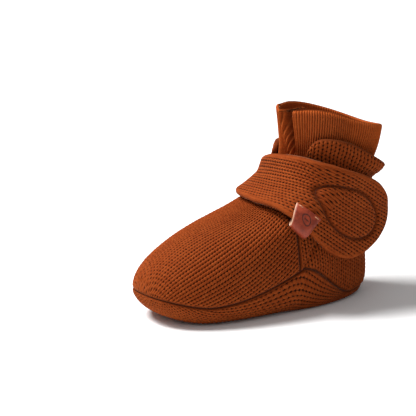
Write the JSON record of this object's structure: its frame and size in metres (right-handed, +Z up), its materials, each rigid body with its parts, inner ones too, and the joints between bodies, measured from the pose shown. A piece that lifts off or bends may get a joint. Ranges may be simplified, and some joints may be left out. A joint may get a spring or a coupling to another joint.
{
  "type": "baby bootie",
  "caption": "Soft knitted baby bootie with a moccasin sole, a rib cuff and a hook-and-loop wrap strap that peels open.",
  "frame": {"origin": "on the floor under the middle of the sole", "axes": "+Z up, -Y towards the toe, +Y towards the heel, +X towards the side where the strap fastens"},
  "size_m": [0.0655, 0.1293, 0.0905],
  "materials": {
    "knit": "chunky stockinette knit, matte",
    "rib_knit": "fine one-by-one rib knit, matte",
    "lining": "brushed jersey, matte",
    "foam": "soft open-cell foam",
    "loop_tape": "brushed loop tape",
    "hook_tape": "hook tape",
    "leather": "smooth, slightly glossy",
    "thread": "sewing yarn",
    "tag_thread": "sewing thread"
  },
  "bodies": {
    "boot": {"sole_panel": "knit", "insole_pad": "foam", "sole_lining": "lining", "vamp_panel": "knit", "quarter_outer": "knit", "quarter_inner": "knit", "upper_lining": "lining", "rib_cuff": "rib_knit", "loop_patch": "loop_tape", "sole_seam_thread": "thread", "side_seam_thread_outer": "thread", "side_seam_thread_inner": "thread", "back_seam_thread": "thread"},
    "strap_band": {"strap_band": "knit", "strap_band_facing": "lining", "strap_root_stitch": "thread"},
    "strap_tab": {"strap_tab": "knit", "strap_tab_facing": "lining", "hook_patch": "hook_tape", "leather_tag": "leather", "fastener_stitch_ring": "thread", "tag_stitch_front": "tag_thread", "tag_stitch_back": "tag_thread"}
  },
  "joints": [
    {"name": "strap_root_swing", "type": "hinge", "parent": "boot", "child": "strap_band", "pos_m": [-0.01976, 0.01588, 0.05453], "axis": [-0.2402, -0.6132, -0.7526], "range_deg": [0, 60]},
    {"name": "strap_tab_peel", "type": "hinge", "parent": "strap_band", "child": "strap_tab", "pos_m": [0.01951, 0.00841, 0.06119], "axis": [0.1109, -0.6105, -0.7842], "range_deg": [0, 120]}
  ]
}
